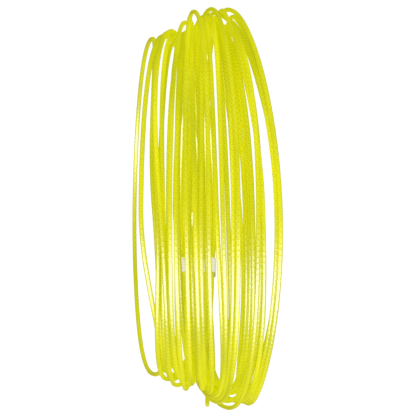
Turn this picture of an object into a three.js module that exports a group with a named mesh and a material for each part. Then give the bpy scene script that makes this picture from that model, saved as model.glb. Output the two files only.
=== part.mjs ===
// A coil of racket string standing on its rim, with most of its turns tied together near the floor.
// Units are millimetres, +Z is up, and the coil's axis runs along X.
//
// The string is one long piece. The strip gathers the tied turns, and they fan apart above it. The
// loose turns pass beside it. Each ring here is the outer shape of a group of turns.

import * as THREE from 'three';

// ---- Driving dimensions ----

const STRING_DIAMETER = 1.3;
const WIDE_DIAMETER = 118;   // outside the widest turns, at the +X side
const TIGHT_DIAMETER = 100;  // outside the tightest turns, at the -X side
const FLATTENED = 1;         // how far the floor presses the rim in, which gives the coil a foot
const STRIP_BEARING = 20;    // degrees round the rim, from the floor towards -Y
const STRIP_WIDTH = 5;
const STRIP_THICKNESS = 0.4;
const GAP = 0.3;             // left between neighbouring solids

// Each fan of turns has its two edges along X at four places: the top, the +Y side, the floor and the
// -Y side. A fan is cut into groups of turns, and its depth is measured towards the coil's middle.
const LOOSE_TIGHT_TURNS = {
  groups: 1,
  depth: 2.8,
  top: [-19.6, -15.9],
  front: [-17.8, -15.1],
  floor: [-24.2, -19.8],
  back: [-17.2, -14.7],
};
const TIED_TURNS = {
  groups: 5,
  depth: 4.6,
  top: [-15.6, 9.6],
  front: [-13.3, 2.2],
  floor: [-10.2, 2],
  back: [-12.8, 5.4],
};
const LOOSE_WIDE_TURNS = {
  groups: 1,
  depth: 2.8,
  top: [11.2, 20.3],
  front: [2.9, 6.2],
  floor: [10, 15.4],
  back: [6.1, 12.4],
};

// ---- Worked out from those ----

const WIDE_RADIUS = WIDE_DIAMETER / 2;
const AXIS_HEIGHT = WIDE_RADIUS - FLATTENED;
const STRIP_ANGLE = THREE.MathUtils.degToRad(180 + STRIP_BEARING);
const STRIP_TURNED = STRIP_WIDTH / 2 / WIDE_RADIUS;  // half the strip's width, as an angle round the rim

// ---- Materials ----

const stringYellow = new THREE.MeshStandardMaterial({ color: 0xd8d600, roughness: 0.35, metalness: 0 });
const stripWhite = new THREE.MeshStandardMaterial({ color: 0xf0f0e8, roughness: 0.6, metalness: 0 });

// ---- The fans ----

// A point in the coil's plane, at an angle measured from the top towards +Y.
function onCircle(radius, angle) {
  return new THREE.Vector3(0, radius * Math.sin(angle), radius * Math.cos(angle));
}

// The place along X of a turn that lies a given share of the way across its fan, at an angle.
// It is the smoothest closed curve through the fan's four places.
function along(fan, share, angle) {
  const [top, front, floor, back] = [fan.top, fan.front, fan.floor, fan.back].map(
    ([first, last]) => THREE.MathUtils.lerp(first, last, share),
  );
  const middle = (top + front + floor + back) / 4;
  const saddle = (top - front + floor - back) / 4;
  return middle + (top - floor) / 2 * Math.cos(angle) + (front - back) / 2 * Math.sin(angle)
    + saddle * Math.cos(2 * angle);
}

// ---- The turns ----

const RING_SEGMENTS = 60;
const CORNER = 0.25;  // the section's corners are cut back by this share of each side

// A ring's section: r runs from its inner side to its outer side, and t from one face to the other.
function ringSection(outerRadius, depth) {
  const corners = [
    [CORNER, 0], [1 - CORNER, 0], [1, CORNER], [1, 1 - CORNER],
    [1 - CORNER, 1], [CORNER, 1], [0, 1 - CORNER], [0, CORNER], [CORNER, 0],
  ];
  return corners.map(([r, t]) => new THREE.Vector2(outerRadius + (r - 1) * depth, t));
}

// The turns get wider quickly from the -X side, then slowly.
function turnRadius(share) {
  return THREE.MathUtils.lerp(TIGHT_DIAMETER, WIDE_DIAMETER, Math.sin(share * Math.PI / 2)) / 2;
}

// One group of turns: a lathed ring that stands on the floor, with its faces bent to its part of the fan.
function turnGroup(name, fan, index, radius) {
  const section = ringSection(radius, fan.depth);
  const geometry = new THREE.LatheGeometry(section, RING_SEGMENTS, Math.PI / RING_SEGMENTS);
  geometry.rotateZ(-Math.PI / 2);
  const points = geometry.attributes.position;
  for (let i = 0; i < points.count; i += 1) {
    const y = points.getY(i);
    const z = points.getZ(i);
    const angle = Math.atan2(y, z);
    const low = along(fan, index / fan.groups, angle);
    const high = along(fan, (index + 1) / fan.groups, angle) - GAP;
    const height = Math.max(0, z + radius - FLATTENED);
    points.setXYZ(i, THREE.MathUtils.lerp(low, high, points.getX(i)), y, height);
  }
  geometry.computeVertexNormals();
  const mesh = new THREE.Mesh(geometry, stringYellow);
  mesh.name = name;
  return mesh;
}

// ---- The string's two ends ----

const END_SIDES = 8;
const END_STEP = 3;  // between one section of the tube and the next

// A free end starts beside the strip and runs along the turns. It drifts away from the coil's middle
// (or towards it, if drift is negative) and along X before it is cut off.
function stringEnd(name, { radius, heading, length, drift, from, to }) {
  const steps = Math.round(length / END_STEP);
  const route = [];
  for (let i = 0; i <= steps; i += 1) {
    const share = i / steps;
    const turned = STRIP_TURNED + (GAP + length * share) / WIDE_RADIUS;
    const point = onCircle(radius + drift * share * share, STRIP_ANGLE + heading * turned);
    route.push(point.add(new THREE.Vector3(THREE.MathUtils.lerp(from, to, share), 0, AXIS_HEIGHT)));
  }
  const section = new THREE.Shape();
  section.absarc(0, 0, STRING_DIAMETER / 2, 0, 2 * Math.PI);
  const geometry = new THREE.ExtrudeGeometry(section, {
    steps,
    curveSegments: END_SIDES / 2,
    extrudePath: new THREE.CatmullRomCurve3(route),
  });
  const mesh = new THREE.Mesh(geometry, stringYellow);
  mesh.name = name;
  return mesh;
}

// The outer end springs away from the turns, because a cut end straightens a little.
const outerEnd = {
  radius: WIDE_RADIUS + GAP + STRING_DIAMETER / 2,
  heading: 1,
  length: 42,
  drift: 10,
  from: -1,
  to: 0,
};

// The inner end lies just inside the turns and stops soon after the strip.
const innerEnd = {
  radius: WIDE_RADIUS - TIED_TURNS.depth - 1.6 - GAP,
  heading: -1,
  length: 18,
  drift: -4,
  from: -6,
  to: -5,
};

// ---- The binding strip ----

const FLAP_LENGTH = 6;     // where the strip's last part lies over its first
const SIDE_SLACK = 0.4;    // the space between the bundle and the strip at its faces and its outer side
const INNER_SLACK = 1;     // and at its inner side, where the tighter turns stand further in
const STRIP_CORNER = 0.5;  // the bend at each corner, inside

// A rectangle with round corners, drawn as its four corner arcs from the lower right one.
function roundedBox(path, left, bottom, right, top, corner, beforeUpperRight = () => {}) {
  const quarter = Math.PI / 2;
  path.absarc(right - corner, bottom + corner, corner, -quarter, 0);
  beforeUpperRight();
  path.absarc(right - corner, top - corner, corner, 0, quarter);
  path.absarc(left + corner, top - corner, corner, quarter, 2 * quarter);
  path.absarc(left + corner, bottom + corner, corner, 2 * quarter, 3 * quarter);
}

// The band closed round the tied turns. In its own plane, x is away from the coil's middle, and y is
// along the coil's axis.
function bindingStrip() {
  const t = STRIP_THICKNESS;
  const right = SIDE_SLACK;
  const left = -TIED_TURNS.depth - INNER_SLACK;
  const bottom = along(TIED_TURNS, 0, STRIP_ANGLE) - SIDE_SLACK;
  const top = along(TIED_TURNS, 1, STRIP_ANGLE) + SIDE_SLACK;
  const flapStart = (bottom + top - FLAP_LENGTH) / 2;
  const outline = new THREE.Shape();
  roundedBox(outline, left - t, bottom - t, right + t, top + t, STRIP_CORNER + t, () => {
    outline.lineTo(right + t, flapStart);
    outline.lineTo(right + 2 * t, flapStart);
    outline.lineTo(right + 2 * t, flapStart + FLAP_LENGTH);
    outline.lineTo(right + t, flapStart + FLAP_LENGTH + t);
  });
  const hole = new THREE.Path();
  roundedBox(hole, left, bottom, right, top, STRIP_CORNER);
  outline.holes.push(hole);
  const geometry = new THREE.ExtrudeGeometry(outline, {
    depth: STRIP_WIDTH,
    bevelEnabled: false,
    curveSegments: 1,
  });
  geometry.translate(0, 0, -STRIP_WIDTH / 2);
  const mesh = new THREE.Mesh(geometry, stripWhite);
  mesh.name = 'binding_strip';
  const away = onCircle(1, STRIP_ANGLE);
  const axis = new THREE.Vector3(1, 0, 0);
  mesh.quaternion.setFromRotationMatrix(
    new THREE.Matrix4().makeBasis(away, axis, new THREE.Vector3().crossVectors(away, axis)),
  );
  mesh.position.copy(onCircle(WIDE_RADIUS, STRIP_ANGLE)).setZ(
    onCircle(WIDE_RADIUS, STRIP_ANGLE).z + AXIS_HEIGHT,
  );
  return mesh;
}

// ---- The whole coil ----

const coil = new THREE.Group();
coil.add(turnGroup('string_turns_1', LOOSE_TIGHT_TURNS, 0, turnRadius(0)));
for (let index = 0; index < TIED_TURNS.groups; index += 1) {
  const share = (index + 1) / (TIED_TURNS.groups + 1);
  coil.add(turnGroup(`string_turns_${index + 2}`, TIED_TURNS, index, turnRadius(share)));
}
coil.add(turnGroup('string_turns_7', LOOSE_WIDE_TURNS, 0, turnRadius(1)));
coil.add(stringEnd('string_outer_end', outerEnd));
coil.add(stringEnd('string_inner_end', innerEnd));
coil.add(bindingStrip());

// The origin is the middle of the underside of the coil's box.
const box = new THREE.Box3().setFromObject(coil);
const middle = box.getCenter(new THREE.Vector3());
coil.position.set(-middle.x, -middle.y, -box.min.z);

export default coil;
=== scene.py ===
# A loose coil of bright yellow racket string, standing on its rim on a white table and seen from above.
# Lengths in the sections on the string are in millimetres, about the coil's own axis, and MM turns them
# into Blender's metres. An angle goes round the coil from its top towards +Y, in degrees.

import bpy
import math
import numpy as np
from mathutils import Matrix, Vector


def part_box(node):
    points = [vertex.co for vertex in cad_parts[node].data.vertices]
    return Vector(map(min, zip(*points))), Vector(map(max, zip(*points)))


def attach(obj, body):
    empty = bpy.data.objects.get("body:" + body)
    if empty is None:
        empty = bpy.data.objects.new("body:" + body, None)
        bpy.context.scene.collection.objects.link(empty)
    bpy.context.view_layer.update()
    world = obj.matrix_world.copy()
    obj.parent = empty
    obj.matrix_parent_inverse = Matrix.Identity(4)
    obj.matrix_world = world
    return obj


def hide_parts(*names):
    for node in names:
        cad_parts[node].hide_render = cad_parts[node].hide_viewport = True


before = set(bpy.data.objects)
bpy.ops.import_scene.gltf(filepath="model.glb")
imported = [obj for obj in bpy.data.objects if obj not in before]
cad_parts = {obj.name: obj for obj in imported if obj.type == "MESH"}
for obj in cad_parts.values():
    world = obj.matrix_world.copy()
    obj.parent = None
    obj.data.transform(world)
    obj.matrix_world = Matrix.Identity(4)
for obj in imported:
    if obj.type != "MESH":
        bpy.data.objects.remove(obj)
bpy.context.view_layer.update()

MM = 0.001

# ---- The coil's place in the frame ----

STRIP_ANGLE = 200          # the strip is 20 degrees round the rim from the floor
BACK_ANGLE = 270           # the coil's -Y side
TOP_ANGLE = 360
FRONT_ANGLE = 450          # its +Y side, which comes last in a turn that starts at the strip
STRIP_PLACE = -3.88        # the strip's middle along the coil's axis, from the middle of the near turns

widest_low, widest_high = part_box("string_turns_7")
strip_low, strip_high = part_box("binding_strip")
ORIGIN_X = (strip_low[0] + strip_high[0]) / 2 / MM - STRIP_PLACE
ORIGIN_Y = (widest_low[1] + widest_high[1]) / 2 / MM
AXIS_HEIGHT = 58.0

# ---- Camera ----

CAMERA_DISTANCE = 560.0    # from the coil's axis, straight above it
SENSOR = 36.0
LENS = 164.7
LOOK_PAST = 0.3            # the view's middle is this far to -Y of the axis
NEAREST_SEEN = 0.01        # in metres
FARTHEST_SEEN = 20


def add_camera():
    data = bpy.data.cameras.new("camera")
    data.sensor_width = SENSOR
    data.lens = LENS
    data.clip_start = NEAREST_SEEN
    data.clip_end = FARTHEST_SEEN
    camera = bpy.data.objects.new("camera", data)
    camera.location = (
        ORIGIN_X * MM,
        (ORIGIN_Y - LOOK_PAST) * MM,
        (AXIS_HEIGHT + CAMERA_DISTANCE) * MM,
    )
    bpy.context.scene.collection.objects.link(camera)
    bpy.context.scene.camera = camera


add_camera()

# ---- The string's turns ----

STRING_DIAMETER = 1.3
COLUMNS = 180              # places round the coil where the turns are kept apart
STEP = 360 / COLUMNS
SEED = 7
FIRST_TURN_DEPTH = 2.5     # how much lower the first turn's top is, because the next turns cross it

# The outermost turns, from the tightest side to the widest. Near, front and back are a turn's places
# along the axis at the coil's top, at its +Y side and at its -Y side. Front and back radius are how
# far out it is there, and slant is how much it leans across the top.
OUTER_NEAR = [-14.8, -17.6, -13.3, -13.9, -12.2, -9.9, -8.6, -6.1, -3.5, -1.6, -0.2, 2.3, 4.5, 6.4, 8.0,
              12.9, 15.2, 18.0, 19.4]
OUTER_SLANT = [1.2, 0, 1.6, 0.6, 0.3, 0, 0.2, 0, 0, 0, -0.5, 0.8, 0.2, 0, -0.4, -0.3, 0, 0, 0]
OUTER_FRONT = [-16.3, -12.7, -10.6, -11.5, -9.6, -6.5, -6.0, -4.6, -4.4, -2.5, -4.1, -1.2, 0.2, 1.5, 0.9,
               2.2, 3.2, 7.0, 4.7]
OUTER_FRONT_RADIUS = [49.6, 50.8, 51.8, 50.6, 51.2, 53.3, 52.2, 54.9, 53.8, 54.6, 56.8, 55.2, 55.9, 55.8,
                      56.7, 56.2, 56.8, 55.4, 57.6]
OUTER_BACK = [-12.7, -15, -9.4, -11.6, -9.9, -6.6, -5.7, -4.6, -2.0, -1.2, 0.5, 1.6, 2.2, 2.6, 3.0, 5.2,
              7.2, 9.9, 10.9]
OUTER_BACK_RADIUS = [48.2, 49.3, 51.7, 50.5, 51.2, 52.0, 52.7, 52.2, 53.4, 52.8, 54.0, 54.4, 55.2, 55.6,
                     56.0, 58.2, 56.6, 57.3, 57.3]

# The turns that lie under those, by their places at the coil's top.
UNDER_NEAR = [-12.9, -11.3, -10.6, -8.9, -7.6, -5.5, -4.9, -2.7, -0.9, 5.1, 7.2, 9.5, 11.2, 12.2, 14.1,
              18.6]
UNDER_SPREAD = 0.9         # how far they stray along the axis from the outer turns
UNDER_SLANT = 0.6
UNDER_FRONT_DEPTH = 3.6    # how much further in they are, at most
UNDER_BACK_DEPTH = 3.36

# Where the string passes the strip without going through it, counted from the start of the string or
# from its end: its place along the axis and its radius there.
LOOSE_PASSES = {1: (-23.5, 57.6), -4: (11.4, 58.4), -3: (13.2, 58.4), -2: (14.5, 58.4)}
INNER_END_RANK = -6        # where the string's two ends come among the strands in the strip, in the
OUTER_END_RANK = 3         # terms of make_passes


def smooth_curve(knots, values, at, steeper=1.0):
    """A smooth curve that takes the values at the knots, read at the places in at.

    Steeper is a factor on the curve's slope at each knot."""
    knots = np.asarray(knots, float)
    values = np.asarray(values, float)
    slopes = np.gradient(values, knots) * steeper
    i = np.clip(np.searchsorted(knots, at, side="right") - 1, 0, len(knots) - 2)
    width = knots[i + 1] - knots[i]
    t = (at - knots[i]) / width
    start = (2 * t**3 - 3 * t**2 + 1) * values[i] + (t**3 - 2 * t**2 + t) * width * slopes[i]
    end = (3 * t**2 - 2 * t**3) * values[i + 1] + (t**3 - t**2) * width * slopes[i + 1]
    return start + end


def standing_radius(front_radius, back_radius):
    """How far a turn's top is from the coil's axis, when the turn is round and stands on the floor."""
    return front_radius + back_radius - AXIS_HEIGHT


def make_turns():
    """Every turn's places and radii as named columns, in the order that the string is wound in."""
    random = np.random.default_rng(SEED)
    near = np.array(OUTER_NEAR)
    front = np.array(OUTER_FRONT)
    front_radius = np.array(OUTER_FRONT_RADIUS)
    back = np.array(OUTER_BACK)
    back_radius = np.array(OUTER_BACK_RADIUS)
    under = np.array(UNDER_NEAR)
    # The first turn is low and out of order, so the turns under the others aren't placed by it.
    order = np.argsort(near[1:]) + 1

    def beneath(values, stray, deepest):
        drift = random.uniform(-stray, stray, len(under))
        depth = random.uniform(deepest / 3, deepest, len(under))
        return np.interp(under, near[order], values[order]) + drift - depth

    under_front = beneath(front, UNDER_SPREAD, 0)
    under_front_radius = beneath(front_radius, 0, UNDER_FRONT_DEPTH)
    under_back = beneath(back, UNDER_SPREAD, 0)
    under_back_radius = beneath(back_radius, 0, UNDER_BACK_DEPTH)
    turns = {
        "near": np.append(near, under),
        "slant": np.append(OUTER_SLANT, random.uniform(-UNDER_SLANT, UNDER_SLANT, len(under))),
        "front": np.append(front, under_front),
        "front_radius": np.append(front_radius, under_front_radius),
        "back": np.append(back, under_back),
        "back_radius": np.append(back_radius, under_back_radius),
    }
    turns["near_radius"] = standing_radius(turns["front_radius"], turns["back_radius"])
    turns["near_radius"][0] -= FIRST_TURN_DEPTH
    # The string is wound from the tightest side on, and the first two turns keep their order.
    order = np.append([0, 1], np.argsort(turns["near"][2:]) + 2)
    return {name: values[order] for name, values in turns.items()}


# ---- The strands inside the strip ----

SLOT_ROWS = [9, 8, 9, 8]   # strands in each row, from the outer one in
SLOT_PITCH = 1.34
ROW_PITCH = 1.17
OUTER_ROW_RADIUS = 58.35


def strip_slots(count):
    """The places of the strands pressed together inside the strip, from the tightest side on."""
    slots = []
    for row, strands in enumerate(SLOT_ROWS):
        for i in range(strands):
            place = STRIP_PLACE + (i - (strands - 1) / 2) * SLOT_PITCH
            slots.append((place, OUTER_ROW_RADIUS - row * ROW_PITCH))
    spare = len(slots) - count
    last_row = sorted(slots[-SLOT_ROWS[-1]:], key=lambda slot: -abs(slot[0] - STRIP_PLACE))
    kept = [slot for slot in slots if slot not in last_row[:spare]]
    return sorted(kept)


def make_passes(turns):
    """Where the string is each time that it comes to the strip's angle: its place and its radius.

    The strands cross on their way there. By and large, the further a turn's top is to -X, the further
    to +X the string goes through the strip. Each four strands in that order take four neighbouring
    slots, where they lie by their radius."""
    count = len(turns["near"]) + 1
    loose = {i % count: place for i, place in LOOSE_PASSES.items()}
    at_sides = (turns["front"][:-1] + turns["back"][1:]) / 2
    at_top = (turns["near"][:-1] + turns["near"][1:]) / 2
    rank = np.zeros(count)
    rank[1:-1] = at_sides - at_top
    rank[0], rank[-1] = INNER_END_RANK, OUTER_END_RANK
    radius = np.zeros(count)
    radius[1:-1] = (turns["front_radius"][:-1] + turns["back_radius"][1:]) / 2
    radius[-1] = np.inf        # the outer end leaves from the outer row
    tied = sorted((i for i in range(count) if i not in loose), key=lambda i: rank[i])
    slots = strip_slots(len(tied))
    passes = np.zeros((count, 2))
    depth = len(SLOT_ROWS)
    for start in range(0, len(tied), depth):
        strands = sorted(tied[start:start + depth], key=lambda i: radius[i])
        places = sorted(slots[start:start + depth], key=lambda slot: slot[1])
        for i, place in zip(strands, places):
            passes[i] = place
    for i, place in loose.items():
        passes[i] = place
    return passes


# ---- Keeping the turns apart ----

ROUNDS = 260
FREE_ROUNDS = 16           # the last rounds only part the turns, with no smoothing after it
CLEARANCE = 1.02           # the turns are kept this many diameters apart
HELD_COLUMNS = 2           # columns at each side of the strip's middle in which nothing moves
PUSH = 0.4                 # the share of an overlap that each disc moves away in one round
KEPT = 0.998               # the share of a turn's shift that is kept from one round to the next
SMOOTHING = np.array([1, 3, 6, 8, 6, 3, 1]) / 28
FLOOR_ABOVE = 0.8          # a turn can touch the floor only where it points down more than this, of 1


def floor_radius(angles):
    """The largest radius that keeps the string above the floor, at each angle."""
    down = -np.cos(np.radians(angles))
    reach = (AXIS_HEIGHT - STRING_DIAMETER / 2) / np.maximum(down, FLOOR_ABOVE)
    return np.where(down > FLOOR_ABOVE, reach, np.inf)


def part_turns(route, angles, turn_count):
    """Moves a route of (place, radius) pairs a little at a time, until its turns hardly overlap.

    At each angle round the coil the turns are discs in one plane, and discs that overlap push each
    other away. The pushes are smoothed along the string, so that it bends gently over what it
    crosses."""
    wanted = route.copy()
    farthest = floor_radius(angles)
    column = np.arange(len(route)) % COLUMNS
    held = (column <= HELD_COLUMNS) | (column >= COLUMNS - HELD_COLUMNS)
    itself = np.arange(turn_count)
    reach = len(SMOOTHING) // 2
    for i in range(ROUNDS):
        discs = route[:-1].reshape(turn_count, COLUMNS, 2)
        away = discs[:, None] - discs[None]
        apart = np.linalg.norm(away, axis=-1) + 1e-9
        overlap = np.clip(STRING_DIAMETER * CLEARANCE - apart, 0, None)
        overlap[itself, itself] = 0
        push = (away * (overlap / apart)[..., None]).sum(1) * PUSH
        route[:-1] += push.reshape(-1, 2)
        if i < ROUNDS - FREE_ROUNDS:
            moved = np.pad(route - wanted, ((reach, reach), (0, 0)), mode="edge")
            for side in range(2):
                smoothed = np.convolve(moved[:, side], SMOOTHING, "valid")
                route[:, side] = wanted[:, side] + KEPT * smoothed
        route[:, 1] = np.minimum(route[:, 1], farthest)
        route[held] = wanted[held]
    return route


# ---- The string's route ----

SIDE_SLOPE = 1.7           # how much faster than evenly a turn moves along the axis at the coil's sides
# Some turns' own factors at their +Y side and at their -Y side, by their order in the winding.
FRONT_SLOPES = {0: 2.8, 19: 3.2}
BACK_SLOPES = {1: 3.5, -3: 4.0, -2: 6.0, -1: 9.0}
# Slow bends that no two turns share: how many there are in a turn, and how far each goes.
WANDER = [(0.7, 0.3), (1.7, 0.2), (2.9, 0.12)]
RADIAL_WANDER = 0.8        # the share of that reach that they have in and out
OUTER_END = {"length": 42.8, "rise": 11.8, "to": -0.2}
INNER_END = {"length": 18.0, "rise": -6.0, "to": -5.0}


def knot_slopes(count):
    """How much steeper than evenly the string moves along the axis at each knot of wound_route."""
    steeper = np.tile([1, SIDE_SLOPE, 1, SIDE_SLOPE], (count, 1))
    for knot, slopes in ((1, BACK_SLOPES), (3, FRONT_SLOPES)):
        for i, slope in slopes.items():
            steeper[i, knot] = slope
    return np.append(steeper, 1)


def wander(place, radius, angles):
    """Adds the slow bends, which die away at the strip."""
    random = np.random.default_rng(SEED + 1)
    bearing = np.radians(angles)
    free = np.sin(np.radians(angles - STRIP_ANGLE) / 2) ** 2
    for bends, reach in WANDER:
        shift = random.uniform(0, 2 * np.pi, 2)
        place += free * reach * np.sin(bends * bearing + shift[0])
        radius += free * reach * RADIAL_WANDER * np.sin(bends * bearing + shift[1])


def wound_route():
    """The turns as (place, radius) pairs and their angles, from the strip to the strip.

    Each turn has four knots: where it starts at the strip, its -Y side, its top and its +Y side."""
    turns = make_turns()
    passes = make_passes(turns)
    count = len(turns["near"])
    bearings = np.array([STRIP_ANGLE, BACK_ANGLE, TOP_ANGLE, FRONT_ANGLE])
    knots = (bearings + 360 * np.arange(count)[:, None]).ravel()
    knots = np.append(knots, STRIP_ANGLE + 360 * count)
    places = [passes[:-1, 0], turns["back"], turns["near"], turns["front"]]
    places = np.append(np.stack(places, -1), passes[-1, 0])
    radii = [passes[:-1, 1], turns["back_radius"], turns["near_radius"], turns["front_radius"]]
    radii = np.append(np.stack(radii, -1), passes[-1, 1])
    angles = STRIP_ANGLE + STEP * np.arange(count * COLUMNS + 1)
    place = smooth_curve(knots, places, angles, knot_slopes(count))
    radius = smooth_curve(knots, radii, angles)
    turn = np.minimum((angles - STRIP_ANGLE) // 360, count - 1).astype(int)
    bearing = np.radians(angles)
    place -= np.where(np.cos(bearing) > 0, turns["slant"][turn] * np.sin(2 * bearing), 0)
    wander(place, radius, angles)
    return part_turns(np.stack([place, radius], -1), angles, count), angles


def end_route(start, angle, end, heading):
    """A cut end that leaves the strip at an angle: more (place, radius) pairs and their angles."""
    turned = np.degrees(end["length"] / start[1])
    steps = int(turned // STEP)
    share = np.arange(1, steps + 1) / steps
    place = start[0] + (end["to"] - start[0]) * share**2 * (3 - 2 * share)
    radius = start[1] + end["rise"] * share**2
    return np.stack([place, radius], -1), angle + heading * turned * share


def string_points():
    """The string's centreline in metres, in the row frame, from its inner end to its outer end."""
    route, angles = wound_route()
    inner, inner_angles = end_route(route[0], angles[0], INNER_END, -1)
    outer, outer_angles = end_route(route[-1], angles[-1], OUTER_END, 1)
    place, radius = np.concatenate([inner[::-1], route, outer]).T
    bearing = np.radians(np.concatenate([inner_angles[::-1], angles, outer_angles]))
    points = np.stack([
        ORIGIN_X + place,
        ORIGIN_Y + radius * np.sin(bearing),
        AXIS_HEIGHT + radius * np.cos(bearing),
    ], -1)
    return points * MM


# ---- The string's mesh ----

SIDES = 8
RING_STEP = 0.96           # along the string, in mm
CUT_EDGE = 0.08            # how much smaller the radius is at each cut end


def evenly_spaced(points, step):
    """The same curve read at even steps, with the distance along it of each new point."""
    gone = np.append(0, np.cumsum(np.linalg.norm(np.diff(points, axis=0), axis=1)))
    at = np.linspace(0, gone[-1], int(gone[-1] / step) + 1)
    return np.stack([smooth_curve(gone, points[:, i], at) for i in range(3)], -1), at


def unit(vectors):
    return vectors / np.linalg.norm(vectors, axis=-1, keepdims=True)


def add_string():
    path = string_points()
    centre, gone = evenly_spaced(path, RING_STEP * MM)
    along = unit(np.gradient(centre, axis=0))
    middle = np.array([ORIGIN_X, ORIGIN_Y, AXIS_HEIGHT]) * MM
    out = centre - middle
    out[:, 0] = 0
    out = unit(out - (out * along).sum(-1, keepdims=True) * along)
    side = np.cross(along, out)
    corner = 2 * np.pi * np.arange(SIDES) / SIDES
    rings = len(centre)
    thick = np.full((rings, 1, 1), STRING_DIAMETER / 2 * MM)
    thick[[0, -1]] -= CUT_EDGE * MM
    rim = np.cos(corner)[:, None] * out[:, None] + np.sin(corner)[:, None] * side[:, None]
    vertices = (centre[:, None] + thick * rim).reshape(-1, 3)
    first = np.arange(rings - 1)[:, None] * SIDES
    here = np.arange(SIDES)
    then = (here + 1) % SIDES
    after = first + SIDES
    quads = np.stack([first + here, first + then, after + then, after + here], -1)
    faces = quads.reshape(-1, 4).tolist()
    faces.append(list(range(SIDES))[::-1])
    faces.append([(rings - 1) * SIDES + i for i in range(SIDES)])
    mesh = bpy.data.meshes.new("string")
    mesh.from_pydata(vertices.tolist(), [], faces)
    mesh.update()
    map_string(mesh, gone, rings)
    mesh.polygons.foreach_set("use_smooth", [True] * (len(faces) - 2) + [False] * 2)
    string = bpy.data.objects.new("string", mesh)
    bpy.context.scene.collection.objects.link(string)
    return string, path


def map_string(mesh, gone, rings):
    """The UV map that the string's material reads: u is the distance along it in mm, and v goes once
    round it."""
    layer = mesh.uv_layers.new(name="along_string")
    here = np.arange(SIDES)
    around = np.stack([here, here + 1, here + 1, here], -1) / SIDES
    distance = gone / MM
    uv = np.zeros((rings - 1, SIDES, 4, 2))
    uv[..., 0] = np.stack([distance[:-1], distance[:-1], distance[1:], distance[1:]], -1)[:, None]
    uv[..., 1] = around
    ends = np.zeros((2, SIDES, 2))
    ends[1, :, 0] = distance[-1]
    layer.data.foreach_set("uv", np.append(uv.ravel(), ends.ravel()))


string, string_path = add_string()
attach(string, "root")
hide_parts(*[f"string_turns_{i}" for i in range(1, 8)], "string_outer_end", "string_inner_end")

# ---- The binding strip ----

STRIP_WIDTH = 5.0
STRIP_THICKNESS = 0.3
STRIP_SLACK = 0.12         # between the strands and the strip
STRIP_CORNER = 0.9         # how round the strip's four bends are
FLAP = 6.0                 # how much of the strip lies over its own start
FLAP_RISE = (0.75, 0.35)   # where it starts and ends its climb, in flaps before the flap's middle
FLAP_LIFT = 1.15           # how high it climbs, in thicknesses
STRIP_STEP = 0.2
EDGE_POINTS = 5            # points on each long side of the strip's own section
SCALLOP = 0.05             # half of how far the strip sinks between two strands
STRIP_EDGE = 0.06          # how round the strip's cut edges are
SHARP_EDGE = 60            # in degrees: the cut edges turn more than this, and the bends turn less


def bundle_size():
    """Half the width and half the depth of the strands that the strip holds, and their middle radius."""
    half_width = (SLOT_ROWS[0] - 1) / 2 * SLOT_PITCH + STRING_DIAMETER / 2
    half_depth = (len(SLOT_ROWS) - 1) / 2 * ROW_PITCH + STRING_DIAMETER / 2
    return half_width, half_depth, OUTER_ROW_RADIUS - (len(SLOT_ROWS) - 1) / 2 * ROW_PITCH


def rounded_loop(half_width, half_depth, corner, gone):
    """A point on a rectangle with round corners, and the direction out of it, at a distance along it
    from the middle of its outer side."""
    straight = [half_width - corner, 2 * (half_depth - corner), 2 * (half_width - corner)]
    bend = corner * math.pi / 2
    pieces = [straight[0], bend, straight[1], bend, straight[2], bend, straight[1], bend, straight[0]]
    gone %= sum(pieces)
    place = np.array([0.0, half_depth])
    heading = 0.0
    for i, length in enumerate(pieces):
        part = min(gone, length)
        if i % 2 == 0:
            place = place + part * np.array([math.cos(heading), math.sin(heading)])
        else:
            turned = part / corner
            chord = np.array([math.sin(heading), -math.cos(heading)]) * corner
            after = np.array([math.sin(heading - turned), -math.cos(heading - turned)]) * corner
            place = place + chord - after
            heading -= turned
        gone -= part
        if gone <= 0:
            break
    return place, np.array([-math.sin(heading), math.cos(heading)])


def strip_section():
    """The strip's own section: points across its width, along its outer side and back along its inner
    side."""
    across = np.linspace(-1, 1, EDGE_POINTS) * STRIP_WIDTH / 2
    outer = [(s, STRIP_THICKNESS / 2) for s in across]
    return outer + [(s, -STRIP_THICKNESS / 2) for s in across[::-1]]


def strip_vertices(section):
    """The section carried round the bundle, from the middle of its outer side back to there and over the
    flap. Returns the vertices and how many steps there are."""
    half_width, half_depth, middle = bundle_size()
    half_width += STRIP_SLACK + STRIP_THICKNESS / 2
    half_depth += STRIP_SLACK + STRIP_THICKNESS / 2
    whole = 4 * (half_width + half_depth - 2 * STRIP_CORNER) + 2 * math.pi * STRIP_CORNER
    total = whole + FLAP
    rise_start, rise_end = (whole - FLAP * share for share in FLAP_RISE)
    steps = int(total / STRIP_STEP)
    vertices = []
    for i in range(steps + 1):
        gone = total * i / steps - FLAP / 2
        place, outward = rounded_loop(half_width, half_depth, STRIP_CORNER, gone)
        over = np.clip((gone - rise_start) / (rise_end - rise_start), 0, 1)
        lift = STRIP_THICKNESS * FLAP_LIFT * over**2 * (3 - 2 * over)
        sink = SCALLOP * math.cos(2 * math.pi * gone / SLOT_PITCH) - SCALLOP
        for s, thick in section:
            x, r = place + outward * (thick + lift + sink)
            bearing = math.radians(STRIP_ANGLE) + s / middle
            radius = middle + r
            vertices.append((
                (ORIGIN_X + STRIP_PLACE + x) * MM,
                (ORIGIN_Y + radius * math.sin(bearing)) * MM,
                (AXIS_HEIGHT + radius * math.cos(bearing)) * MM,
            ))
    return vertices, steps


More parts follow.
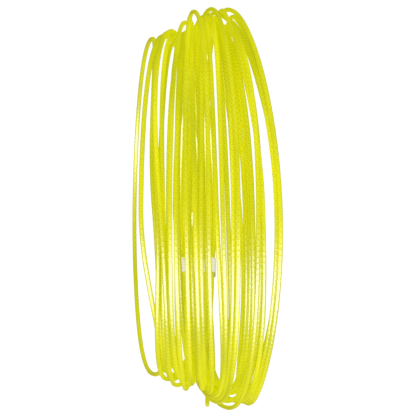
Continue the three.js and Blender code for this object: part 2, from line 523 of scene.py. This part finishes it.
def add_strip():
    section = strip_section()
    vertices, steps = strip_vertices(section)
    points = len(section)
    # These faces are wound so that they point into the strip. Each one reversed would point out of it.
    faces = []
    for i in range(steps):
        for j in range(points):
            k = (j + 1) % points
            here, then = i * points, (i + 1) * points
            faces.append((here + j, here + k, then + k, then + j))
    faces.append(tuple(range(points))[::-1])
    faces.append(tuple(steps * points + j for j in range(points)))
    mesh = bpy.data.meshes.new("strip")
    mesh.from_pydata(vertices, [], faces)
    mesh.update()
    mesh.polygons.foreach_set("use_smooth", [True] * len(faces))
    strip = bpy.data.objects.new("strip", mesh)
    bpy.context.scene.collection.objects.link(strip)
    bevel = strip.modifiers.new("round the edges", "BEVEL")
    bevel.width = STRIP_EDGE * MM
    bevel.segments = 2
    bevel.limit_method = "ANGLE"
    bevel.angle_limit = math.radians(SHARP_EDGE)
    strip.modifiers.new("even shading", "WEIGHTED_NORMAL")
    return strip


strip = add_strip()
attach(strip, "root")
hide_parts("binding_strip")

# ---- Materials ----

RIDGE_PITCH = 1.59         # from one ridge of the string's rough surface to the next along it, in mm
RIDGE_STARTS = 3           # how many ridges wind side by side
RIDGE_HEIGHT = 0.023
RIDGE_EDGES = (0.3, 0.9)   # where a ridge's side starts and ends, as shares of its wave
BREAK_EDGES = (0.1, 0.7)   # and the same for the breaks that cut it into dashes
DEEP_YELLOW = (0.15, 0.17, 0.0)
LIGHT_YELLOW = (0.37, 0.355, 0.0)
RIDGE_YELLOW = (0.40, 0.38, 0.0)
# Painted light: the string glows evenly though it is no lamp, which lifts its shade everywhere.
PAINTED_GLOW_COLOUR = (0.82, 0.83, 0.0)
PAINTED_GLOW = 0.43                # painted glow: the part of the yellow's brightness that doesn't follow the lamps
TONE_SCALE = 0.02          # the yellow's slow changes along the string, in changes per mm
TONE_EDGES = (0.35, 0.65)
RIDGE_TINT = 0.1           # how much of the ridges' own yellow a dash has
GRAIN_SCALE = 1500         # the plastic's grain, in changes per metre
GRAIN_ROUGHNESS = 0.1      # how much roughness the grain adds
GRAIN_HEIGHT = 0.04        # how high the grain stands, as a share of a ridge
GROUND_ROUGHNESS = 0.3     # between the dashes
DASH_ROUGHNESS = 0.16
STRING_SPECULAR = 0.62
STRING_IOR = 2.0           # high, for the bright highlight
TAPE_GREY = (0.55, 0.55, 0.57)
TAPE_WHITE = (0.61, 0.61, 0.63)
TAPE_CLOUD_SCALE = 300     # the strip's uneven white, in changes per metre
FIBRE_SCALE = 3000
FIBRE_DETAIL = 4
FIBRE_EDGES = (0.3, 0.7)
FIBRE_ROUGHNESS = (0.5, 0.7)
FIBRE_HEIGHT = 0.03        # in mm
FIBRE_STRENGTH = 0.1
TABLE_GREY = 0.03          # nearly black, so that only its own light shows
TABLE_ROUGHNESS = 0.9
TABLE_BOUNCE = 0.5         # how much of the table's brightness lights the coil from below


def new_material(name):
    material = bpy.data.materials.new(name)
    material.use_nodes = True
    nodes = material.node_tree.nodes
    return material, material.node_tree, nodes["Principled BSDF"]


def add_node(tree, kind, **settings):
    node = tree.nodes.new(kind)
    for name, value in settings.items():
        setattr(node, name, value)
    return node


def calculate(tree, operation, first, second=None):
    """A Math node. Each operand is a number or another node's output."""
    node = add_node(tree, "ShaderNodeMath", operation=operation)
    for socket, operand in zip(node.inputs, (first, second)):
        if operand is None:
            continue
        if isinstance(operand, (int, float)):
            socket.default_value = operand
        else:
            tree.links.new(operand, socket)
    return node.outputs[0]


def noise(tree, coordinates, scale, detail=2.0):
    node = add_node(tree, "ShaderNodeTexNoise")
    node.inputs["Scale"].default_value = scale
    node.inputs["Detail"].default_value = detail
    tree.links.new(coordinates, node.inputs["Vector"])
    return node.outputs[0]


def spread(tree, value, low, high, to_low=0.0, to_high=1.0):
    """A Map Range node from low..high to to_low..to_high."""
    node = add_node(tree, "ShaderNodeMapRange")
    for name, number in zip(("From Min", "From Max", "To Min", "To Max"), (low, high, to_low, to_high)):
        node.inputs[name].default_value = number
    tree.links.new(value, node.inputs["Value"])
    return node.outputs["Result"]


def blend_colours(tree, share, first, second):
    node = add_node(tree, "ShaderNodeMix", data_type="RGBA")
    for socket, colour in ((node.inputs[6], first), (node.inputs[7], second)):
        if isinstance(colour, tuple):
            socket.default_value = (*colour, 1)
        else:
            tree.links.new(colour, socket)
    tree.links.new(share, node.inputs[0])
    return node.outputs[2]


def add_bump(tree, shader, height, distance, strength=1.0):
    """Bump on a shader, from a height that goes from 0 to 1 over a distance in mm."""
    bump = add_node(tree, "ShaderNodeBump")
    bump.inputs["Strength"].default_value = strength
    bump.inputs["Distance"].default_value = distance * MM
    tree.links.new(height, bump.inputs["Height"])
    tree.links.new(bump.outputs[0], shader.inputs["Normal"])


def helix(tree, u, v, pitch, starts):
    """A wave from 0 to 1 that winds round the string."""
    along = calculate(tree, "MULTIPLY", u, 2 * math.pi / pitch)
    around = calculate(tree, "MULTIPLY", v, 2 * math.pi * starts)
    wave = calculate(tree, "SINE", calculate(tree, "ADD", along, around))
    return spread(tree, wave, -1, 1)


def string_material():
    """Fluorescent yellow plastic with a painted glow, an even emission that lifts it whatever the lamps
    do. Two waves that wind opposite ways break its ridges into dashes, which are smoother than the rest
    and glint."""
    material, tree, shader = new_material("string_yellow")
    uv = add_node(tree, "ShaderNodeUVMap", uv_map="along_string")
    parts = add_node(tree, "ShaderNodeSeparateXYZ")
    tree.links.new(uv.outputs[0], parts.inputs[0])
    u, v = parts.outputs[0], parts.outputs[1]
    place = add_node(tree, "ShaderNodeTexCoord").outputs["Object"]
    ridges = helix(tree, u, v, RIDGE_PITCH, RIDGE_STARTS)
    breaks = helix(tree, u, v, RIDGE_PITCH, -RIDGE_STARTS)
    raised = spread(tree, ridges, *RIDGE_EDGES)
    dashes = calculate(tree, "MULTIPLY", raised, spread(tree, breaks, *BREAK_EDGES))
    tone = spread(tree, noise(tree, uv.outputs[0], TONE_SCALE), *TONE_EDGES)
    yellow = blend_colours(tree, tone, DEEP_YELLOW, LIGHT_YELLOW)
    yellow = blend_colours(tree, spread(tree, dashes, 0, 1, 0, RIDGE_TINT), yellow, RIDGE_YELLOW)
    tree.links.new(yellow, shader.inputs["Base Color"])
    grain = noise(tree, place, GRAIN_SCALE)
    added = calculate(tree, "MULTIPLY", grain, GRAIN_ROUGHNESS)
    rough = calculate(tree, "ADD", spread(tree, dashes, 0, 1, GROUND_ROUGHNESS, DASH_ROUGHNESS), added)
    tree.links.new(rough, shader.inputs["Roughness"])
    shader.inputs["Specular IOR Level"].default_value = STRING_SPECULAR
    shader.inputs["IOR"].default_value = STRING_IOR
    # Painted light: an even glow that doesn't follow the lamps.
    shader.inputs["Emission Color"].default_value = (*PAINTED_GLOW_COLOUR, 1)
    shader.inputs["Emission Strength"].default_value = PAINTED_GLOW
    height = calculate(tree, "ADD", dashes, calculate(tree, "MULTIPLY", grain, GRAIN_HEIGHT))
    add_bump(tree, shader, height, RIDGE_HEIGHT)
    return material


def strip_material():
    """Matt white plastic tape, a little uneven."""
    material, tree, shader = new_material("strip_white")
    place = add_node(tree, "ShaderNodeTexCoord").outputs["Object"]
    cloud = noise(tree, place, TAPE_CLOUD_SCALE)
    white = blend_colours(tree, cloud, TAPE_GREY, TAPE_WHITE)
    tree.links.new(white, shader.inputs["Base Color"])
    fibres = noise(tree, place, FIBRE_SCALE, FIBRE_DETAIL)
    tree.links.new(spread(tree, fibres, *FIBRE_EDGES, *FIBRE_ROUGHNESS), shader.inputs["Roughness"])
    add_bump(tree, shader, fibres, FIBRE_HEIGHT, FIBRE_STRENGTH)
    return material


def floor_material():
    """White to the camera. It lights the coil softly from below, and the string doesn't mirror it."""
    material, tree, shader = new_material("table_white")
    path = add_node(tree, "ShaderNodeLightPath")
    bounce = calculate(tree, "MULTIPLY", path.outputs["Is Diffuse Ray"], TABLE_BOUNCE)
    strength = calculate(tree, "ADD", path.outputs["Is Camera Ray"], bounce)
    shader.inputs["Base Color"].default_value = (TABLE_GREY, TABLE_GREY, TABLE_GREY, 1)
    shader.inputs["Roughness"].default_value = TABLE_ROUGHNESS
    shader.inputs["Specular IOR Level"].default_value = 0
    shader.inputs["Emission Color"].default_value = (1, 1, 1, 1)
    tree.links.new(strength, shader.inputs["Emission Strength"])
    return material


string.data.materials.append(string_material())
strip.data.materials.append(strip_material())

# ---- Table and light ----

TABLE_SIZE = 6.0           # in metres, like the lights' places and sizes
SKY_BRIGHTNESS = 0.95
KEY_LIGHT = {
    "place": (0, -0.56, 0.50),
    "width": 1.9,
    "height": 0.5,
    "power": 19.5,
    "colour": (0.84, 0.8, 0.95),
}
FILL_LIGHT = {
    "place": (0, 0.6, 0.5),
    "width": 2.0,
    "height": 0.9,
    "power": 16,
    "colour": (1, 0.99, 0.5),
}


def add_table():
    half = TABLE_SIZE / 2
    mesh = bpy.data.meshes.new("table")
    corners = [(-half, -half, 0), (half, -half, 0), (half, half, 0), (-half, half, 0)]
    mesh.from_pydata(corners, [], [(0, 1, 2, 3)])
    table = bpy.data.objects.new("table", mesh)
    mesh.materials.append(floor_material())
    bpy.context.scene.collection.objects.link(table)


def add_soft_light(name, place, width, height, power, colour):
    """A soft light that faces the middle of the coil. Returns its object."""
    data = bpy.data.lights.new(name, "AREA")
    data.shape = "RECTANGLE"
    data.size = width
    data.size_y = height
    data.energy = power
    data.color = colour
    light = bpy.data.objects.new(name, data)
    light.location = place
    facing = Vector((0, 0, AXIS_HEIGHT * MM)) - Vector(place)
    light.rotation_euler = facing.to_track_quat("-Z", "Y").to_euler()
    bpy.context.scene.collection.objects.link(light)
    return light


def add_sky(brightness):
    """A plain white studio that only the camera sees: it neither lights the coil nor shows in it."""
    world = bpy.data.worlds.new("studio")
    world.use_nodes = True
    tree = world.node_tree
    sky = tree.nodes["Background"]
    sky.inputs["Color"].default_value = (1, 1, 1, 1)
    seen = add_node(tree, "ShaderNodeLightPath").outputs["Is Camera Ray"]
    tree.links.new(calculate(tree, "MULTIPLY", seen, brightness), sky.inputs["Strength"])
    bpy.context.scene.world = world


add_table()
add_sky(SKY_BRIGHTNESS)
add_soft_light("key", **KEY_LIGHT)
fill = add_soft_light("fill", **FILL_LIGHT)
fill.visible_glossy = False  # only the key light shows in the string's gloss
bpy.context.scene.view_settings.view_transform = "Standard"
